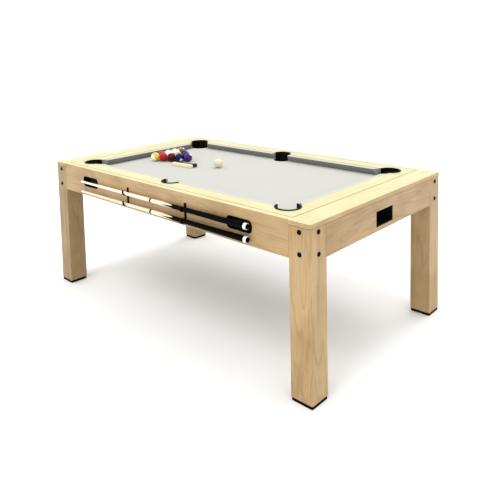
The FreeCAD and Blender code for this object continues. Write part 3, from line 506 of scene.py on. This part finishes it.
# Section from the back foot round the nose to the back top: (share of depth, height above bed).
CUSHION_SECTION = [(0.0, 0.0006), (0.25, 0.0006), (0.52, 0.0012), (0.60, 0.006), (0.72, 0.014),
                   (0.86, 0.023), (0.955, 0.0305), (0.99, 0.0345), (0.995, 0.0362), (0.96, 0.0376),
                   (0.86, 0.0383), (0.6, 0.0388), (0.3, 0.0391), (0.06, 0.0390), (0.0, 0.0375)]


CUSHION_CUTS = 90
CORNER_SLOPE = 0.029    # how far an end runs back from its nose at a corner pocket
MIDDLE_SLOPE = 0.005    # the same at a middle pocket
NEAR_MIDDLE = 0.2       # an end nearer to the table's middle than this is at a middle pocket


def end_slope(end, along):
    return MIDDLE_SLOPE if along == "x" and abs(end) < NEAR_MIDDLE else CORNER_SLOPE


def make_cushion(name, back, inward, along):
    """A cloth-covered rubber rail. Its ends slope from the back to the nose, under darker cloth."""
    low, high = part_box(name)
    horizontal = along == "x"
    depth = (high.y - low.y) if horizontal else (high.x - low.x)
    start, stop = (low.x, high.x) if horizontal else (low.y - MID_Y, high.y - MID_Y)
    bm = bmesh.new()
    rings = []
    for k in range(CUSHION_CUTS + 1):
        ring = []
        for out, height in CUSHION_SECTION:
            a = start + end_slope(start, along) * out
            b = stop - end_slope(stop, along) * out
            place = a + (b - a) * k / CUSHION_CUTS
            across = back + inward * out * depth
            x, y = (place, across) if horizontal else (across, MID_Y + place)
            ring.append(bm.verts.new((x, y, BED_TOP + height)))
        rings.append(ring)
    count = len(CUSHION_SECTION)
    for first, second in zip(rings, rings[1:]):
        for k in range(count):
            n = (k + 1) % count
            bm.faces.new((first[k], first[n], second[n], second[k]))
    for face in (bm.faces.new(rings[0]), bm.faces.new(list(reversed(rings[-1])))):
        face.material_index = 1
    thing = link_mesh(name + "_rail", bm, "table")
    thing.data.materials.append(CLOTH_RAIL)
    thing.data.materials.append(FACING)
    bevel = thing.modifiers.new("ease", "BEVEL")
    bevel.width = 0.0008
    bevel.segments = 2
    bevel.limit_method = "ANGLE"
    bevel.angle_limit = math.radians(50)
    bevel.material = 0
    apply_modifiers(thing)
    smooth(thing, 40)
    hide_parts(name)


# ------------------------------------------------------------------ cue details

CUE_TIP_R, CUE_END_R = 0.006, 0.0145
RING_PROUD = 0.00035    # how far a ring stands out of the cue's taper
JOINT_AT = 0.693        # distance of the cue's joint from its tip
SPLICE = (0.087, 0.18)  # where the black points begin, and where the butt is all black, in x


def cue_line(number):
    """The axis of one cue: its tip, its direction from tip to butt, and its length."""
    shaft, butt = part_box(f"cue_{number}_shaft"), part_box(f"cue_{number}_butt")
    y = (butt[0].y + butt[1].y) / 2
    tip = Vector((shaft[0].x, y, shaft[0].z + CUE_TIP_R))
    end = Vector((butt[1].x, y, butt[1].z - CUE_END_R))
    return tip, (end - tip).normalized(), (end - tip).length


def make_cue_details(number):
    """Ferrule and leather tip, joint collar and white butt ring."""
    tip, direction, length = cue_line(number)
    body = f"cue_{number}"

    def ring(name, start, width, radius_a, radius_b, material, slot="cue_butt"):
        profile = [(0, radius_a - 0.0004), (0.0003, radius_a), (width - 0.0003, radius_b),
                   (width, radius_b - 0.0004)]
        thing = turned_piece(f"{body}_{name}", profile, tip + direction * start, direction,
                             body)
        dress([thing], material)

    def radius_at(place):
        return CUE_TIP_R + (CUE_END_R - CUE_TIP_R) * place / length + RING_PROUD

    ring("ferrule", 0.012, 0.024, 0.00625, 0.00635, IVORY, "cue_shaft")
    ring("leather_tip", 0.0005, 0.0112, 0.0062, 0.00625, LEATHER, "cue_shaft")
    collar_r = radius_at(JOINT_AT)
    ring("joint_collar", JOINT_AT - 0.005, 0.013, collar_r, collar_r, RING_BLACK)
    white, white_width = length - 0.021, 0.017
    ring("white_ring", white, white_width, radius_at(white), radius_at(white + white_width), IVORY)


# ------------------------------------------------------------------ brush

BRUSH_TURN = math.radians(6)
BRUSH_BACK, BRISTLE_DEPTH, BRISTLE_TALL = 0.018, 0.028, 0.016
ROOT_REACH, TIP_REACH = 0.078, 0.095    # half the bristles' length at the wood and at their tips
TUFT_COLUMNS, TUFT_ROWS, TUFT_SIDES = 46, 6, 6
TUFT_EDGE = 0.0022                      # a tuft's middle stays this far inside the block
TUFT_TAPER = (0.0, 0.0014), (0.5, 0.0017), (1.0, 0.0019)    # share of the length, and radius


def add_tuft(bm, root, along, out, i, j):
    """One flared tuft. Its lean, length and fan vary with its place."""
    side = 2 * i / (TUFT_COLUMNS - 1) - 1
    height = j / (TUFT_ROWS - 1)
    z = -BRISTLE_TALL / 2 + TUFT_EDGE + (BRISTLE_TALL - 2 * TUFT_EDGE) * height
    lean = 0.0012 * math.sin(i * 12.9898 + j * 78.233)
    stem = BRISTLE_DEPTH - 0.0006 - 0.0016 * abs(math.sin(i * 4.7 + j * 2.3))
    fan = 0.009 * max(0.0, side - 0.2) * height
    rings = []
    for share, radius in TUFT_TAPER:
        x = side * (ROOT_REACH + (TIP_REACH - ROOT_REACH) * share - 0.002)
        ring = []
        for k in range(TUFT_SIDES):
            a = 2 * math.pi * k / TUFT_SIDES
            p = (root + along * (x + lean * share + radius * math.cos(a))
                 + Vector((0, 0, z + fan * share + radius * math.sin(a))) + out * (stem * share))
            ring.append(bm.verts.new(p))
        rings.append(ring)
    for first, second in zip(rings, rings[1:]):
        for k in range(TUFT_SIDES):
            n = (k + 1) % TUFT_SIDES
            bm.faces.new((first[k], first[n], second[n], second[k]))
    bm.faces.new(rings[0])
    bm.faces.new(rings[-1])


def make_bristles():
    """Rows of bristle tufts, each a flared bundle. Those near the worn +X end fan upwards too."""
    low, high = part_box("brush_handle")
    along = Vector((math.cos(BRUSH_TURN), math.sin(BRUSH_TURN), 0))
    out = Vector((-math.sin(BRUSH_TURN), math.cos(BRUSH_TURN), 0))
    root = (low + high) / 2 + out * (BRUSH_BACK / 2)
    bm = bmesh.new()
    for i in range(TUFT_COLUMNS):
        for j in range(TUFT_ROWS):
            add_tuft(bm, root, along, out, i, j)
    thing = link_mesh("brush_tufts", bm, "brush", weld=0.0)
    dress([thing], BRISTLE)
    smooth(thing)
    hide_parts("brush_bristles")


# ------------------------------------------------------------------ dress the frame

CLOTH_BED = cloth("bed_cloth_wool")
# The rail cloth's darker tone under is painted shade on cushion faces that don't look up.
CLOTH_RAIL = cloth("rail_cloth_wool", (0.47, 0.47, 0.43), (0.19, 0.19, 0.18))
FACING = cloth("cushion_facing", (0.26, 0.26, 0.25))
RUBBER = black_plastic("pocket_rubber")
PLASTIC = black_plastic("return_plastic", tone=0.003, rough=0.6, gloss=0.06)
PAD = black_plastic("foot_rubber", tone=0.002, rough=0.7, gloss=0.02)
STEEL = painted_steel("black_steel")
BOLT = painted_steel("black_bolt")
IVORY = soft_white("cue_ferrule")
LEATHER = soft_white("cue_leather", (0.16, 0.22, 0.35), 0.9)
RING_BLACK = black_plastic("cue_ring", tone=0.002, rough=0.4, gloss=0.03)
BRISTLE = bristle("brush_bristle")

# Painted light and shade, board by board: each board's side tone is scaled for the light that falls on
# it.
END_APRON_PAINTED_SHADE = 0.89
LEG_PAINTED_LIGHT = {"front_left": 0.75, "front_right": 1.02, "back_right": 0.94, "back_left": 0.85}

for seed, name in enumerate(("front_apron", "back_apron", "front_rail_cap", "back_rail_cap")):
    dress([name], maple("maple_" + name, "x", seed))
# The end aprons' side tone is darkened here as painted shade.
for seed, name in enumerate(("left_apron", "right_apron", "left_rail_cap", "right_rail_cap",
                             "left_end_panel", "right_end_panel"), start=5):
    dress([name], maple("maple_" + name, "y", seed, END_APRON_PAINTED_SHADE if "apron" in name else 1.0))
# Each leg's side tone is scaled by its painted light and shade.
for seed, (name, light) in enumerate(LEG_PAINTED_LIGHT.items(), start=12):
    dress(["leg_" + name], maple("maple_leg_" + name, "z", seed, light))
    dress(["foot_" + name], PAD)
dress(["side_bearers", "end_bearers", "cross_bearers", "corner_blocks"], timber("frame_timber"))
dress(["leg_bolts"], BOLT)
dress(["hand_slot_cups", "ball_box", "side_gullies", "collector_gully"], PLASTIC)
dress(["corner_pocket_liners", "middle_pocket_liners"], RUBBER)
dress(["slate_bed"], slate())
dress(["cue_clips"], STEEL)

cloth_sheet = make_bed_cloth()
dress([cloth_sheet], CLOTH_BED)
for name, back, inward, along in (("front_left", FRONT_CAP[1].y, 1, "x"),
                                  ("front_right", FRONT_CAP[1].y, 1, "x"),
                                  ("back_left", BACK_CAP[0].y, -1, "x"),
                                  ("back_right", BACK_CAP[0].y, -1, "x"),
                                  ("left_end", LEFT_CAP[1].x, 1, "y"),
                                  ("right_end", RIGHT_CAP[0].x, -1, "y")):
    make_cushion("cushion_" + name, back, inward, along)

for number in (1, 2):
    tip, direction, length = cue_line(number)
    middle = tip + direction * (length * 0.6)
    dress([f"cue_{number}_shaft"], cue_wood(f"cue_shaft_{number}", pale=1.12 if number == 1 else 0.9))
    dress([f"cue_{number}_butt"], cue_wood(f"cue_butt_{number}", *SPLICE, (middle.y, middle.z)))
    make_cue_details(number)

dress(["brush_handle"], brush_wood())
make_bristles()

PURPLE, BLUE, GREEN = (0.055, 0.012, 0.15), (0.003, 0.008, 0.10), (0.01, 0.10, 0.04)
MAROON, ORANGE, RED = (0.075, 0.003, 0.005), (0.70, 0.15, 0.02), (0.42, 0.010, 0.014)
LIME, YELLOW, CREAM = (0.48, 0.54, 0.03), (0.80, 0.52, 0.03), (0.70, 0.66, 0.44)
NAVY = (0.012, 0.008, 0.05)
# The camera looks towards -X +Y, so +X -Y points at it and +X +Y points right.
SIDEWAYS, UPRIGHT = (0.7, 0.7, 0.1), (0.1, -0.1, 1.0)
BALLS = {1: (PURPLE, "solid", (0.5, 0.5, 0.7)), 2: (BLUE, "solid", (0.84, -0.23, -0.5)),
         3: (NAVY, "solid", SIDEWAYS), 4: (MAROON, "solid", SIDEWAYS),
         5: (LIME, "stripe", (0.85, -0.2, -0.45)), 6: (NAVY, "solid", SIDEWAYS),
         7: (RED, "solid", SIDEWAYS), 8: (RED, "stripe", (0.5, -0.5, 0.7)),
         9: (GREEN, "stripe", UPRIGHT), 10: (PURPLE, "solid", SIDEWAYS),
         11: (YELLOW, "stripe", (-0.08, -0.78, -0.3)), 12: (RED, "solid", SIDEWAYS),
         13: (RED, "stripe", (0.3, -0.5, 0.8)), 14: (GREEN, "stripe", UPRIGHT),
         15: (ORANGE, "stripe", SIDEWAYS)}
for number, (colour, style, axis) in BALLS.items():
    name = f"ball_{number:02d}"
    low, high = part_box(name)
    dress([name], ball_material(name + "_resin", (low + high) / 2, colour, style, axis))
low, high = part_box("cue_ball")
dress(["cue_ball"], ball_material("cue_ball_resin", (low + high) / 2, CREAM, "plain", (0, 0, 1)))

# ------------------------------------------------------------------ stage, light, camera


def make_stage():
    """A wide pale floor."""
    s = Shader("studio_floor")
    speck = s.noise(s.coords(), 3.0, 3.0, 0.5)
    s.done(Base_Color=s.mix(s.remap(speck, 0.3, 0.7), (0.87, 0.87, 0.865), (0.885, 0.885, 0.88)),
           Roughness=0.8, Specular_IOR_Level=0.1)
    bm = bmesh.new()
    bmesh.ops.create_grid(bm, x_segments=8, y_segments=8, size=40)
    mesh = bpy.data.meshes.new("studio_floor")
    bm.to_mesh(mesh)
    bm.free()
    floor = bpy.data.objects.new("studio_floor", mesh)
    floor.location = (0, 0, cad_low.z - 0.0002)
    floor.data.materials.append(s.material)
    scene.collection.objects.link(floor)


def make_lights():
    """An even white surround, and two wide lights above, leaning to the table's long sides."""
    world = bpy.data.worlds.new("studio_world")
    world.use_nodes = True
    background = world.node_tree.nodes["Background"]
    background.inputs["Color"].default_value = (1.0, 1.0, 0.995, 1)
    background.inputs["Strength"].default_value = 1.40
    scene.world = world
    for name, lean in (("front_light", 30), ("back_light", -30)):
        data = bpy.data.lights.new(name, "SUN")
        data.energy = 0.66
        data.angle = math.radians(25)
        light = bpy.data.objects.new(name, data)
        light.rotation_euler = (math.radians(lean), 0, 0)
        scene.collection.objects.link(light)


def make_camera():
    """The studio view, with a lens shift that keeps upright lines nearly upright."""
    yaw, pitch, roll = -0.7701, -0.085, -0.0246
    place = Vector((2.3328, -2.3807 + MID_Y, 1.5158))
    ahead = Vector((math.sin(yaw) * math.cos(pitch), math.cos(yaw) * math.cos(pitch),
                    math.sin(pitch)))
    right = Vector((math.cos(yaw), -math.sin(yaw), 0))
    up = right.cross(ahead)
    turned_right = right * math.cos(roll) + up * math.sin(roll)
    turned_up = up * math.cos(roll) - right * math.sin(roll)
    data = bpy.data.cameras.new("camera")
    data.sensor_width, data.lens = 36, 40.584
    data.shift_x, data.shift_y = 0.0330, -0.3158
    data.clip_start, data.clip_end = 0.05, 200
    camera = bpy.data.objects.new("camera", data)
    axes = Matrix((turned_right, turned_up, -ahead)).transposed()
    camera.matrix_world = Matrix.Translation(place) @ axes.to_4x4()
    scene.collection.objects.link(camera)
    scene.camera = camera


make_stage()
make_lights()
make_camera()
scene.view_settings.view_transform = "Standard"
